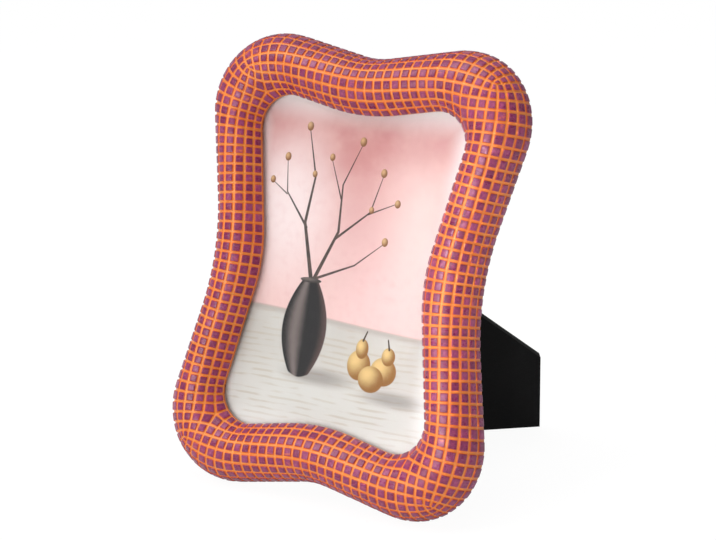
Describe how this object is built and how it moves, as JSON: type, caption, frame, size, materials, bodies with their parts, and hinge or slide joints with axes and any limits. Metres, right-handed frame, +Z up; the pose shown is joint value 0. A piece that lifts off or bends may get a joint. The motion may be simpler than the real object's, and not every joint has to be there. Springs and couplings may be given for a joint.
{
  "type": "photo frame",
  "caption": "Tabletop photo frame with a wavy half-round moulding of raised square tiles, a pane over the print, and a folding easel leg on a diagonal hinge behind.",
  "frame": {"origin": "middle of the base: centre of the overall box, on the table that the frame stands on", "axes": "+Z up; the picture faces -Y and leans back; +X to the viewer's right"},
  "size_m": [0.1508, 0.1458, 0.1882],
  "materials": {
    "moulding": "cast resin, painted: semi-gloss purple tiles on an orange ground",
    "glass": "clear float glass",
    "print": "printed photo paper",
    "card": "plain grey-brown card",
    "board_cover": "hardboard covered in matt black grained paper",
    "plated_steel": "nickel plated",
    "black_steel": "black enamel"
  },
  "bodies": {
    "frame": {"frame_moulding": "moulding", "glass_pane": "glass", "photo_print": "print", "filler_card": "card", "back_board": "board_cover", "turn_button_screw_upper_left": "plated_steel", "turn_button_screw_upper_right": "plated_steel", "turn_button_screw_lower_left": "plated_steel", "turn_button_screw_lower_right": "plated_steel", "hinge_board_leaf": "black_steel", "hinge_pin": "plated_steel", "board_rivet_1": "plated_steel", "board_rivet_2": "plated_steel"},
    "leg": {"easel_leg": "board_cover", "hinge_leg_leaf": "black_steel", "leg_rivet_1": "plated_steel", "leg_rivet_2": "plated_steel"},
    "button_upper_left": {"turn_button_upper_left": "plated_steel"},
    "button_upper_right": {"turn_button_upper_right": "plated_steel"},
    "button_lower_left": {"turn_button_lower_left": "plated_steel"},
    "button_lower_right": {"turn_button_lower_right": "plated_steel"}
  },
  "joints": [
    {"name": "leg_fold", "type": "hinge", "parent": "frame", "child": "leg", "pos_m": [-0.01297, -0.02967, 0.08589], "axis": [0.7071, 0.1973, 0.679], "range_deg": [-57.8, 0]},
    {"name": "button_upper_left_turn", "type": "hinge", "parent": "frame", "child": "button_upper_left", "pos_m": [-0.05757, -0.0181, 0.1372], "axis": [0, 0.9603, -0.279], "range_deg": [-90, 90]},
    {"name": "button_upper_right_turn", "type": "hinge", "parent": "frame", "child": "button_upper_right", "pos_m": [0.05763, -0.0181, 0.1372], "axis": [0, 0.9603, -0.279], "range_deg": [-90, 90]},
    {"name": "button_lower_left_turn", "type": "hinge", "parent": "frame", "child": "button_lower_left", "pos_m": [-0.05757, -0.04376, 0.04885], "axis": [0, 0.9603, -0.279], "range_deg": [-90, 90]},
    {"name": "button_lower_right_turn", "type": "hinge", "parent": "frame", "child": "button_lower_right", "pos_m": [0.05763, -0.04376, 0.04885], "axis": [0, 0.9603, -0.279], "range_deg": [-90, 90]}
  ]
}
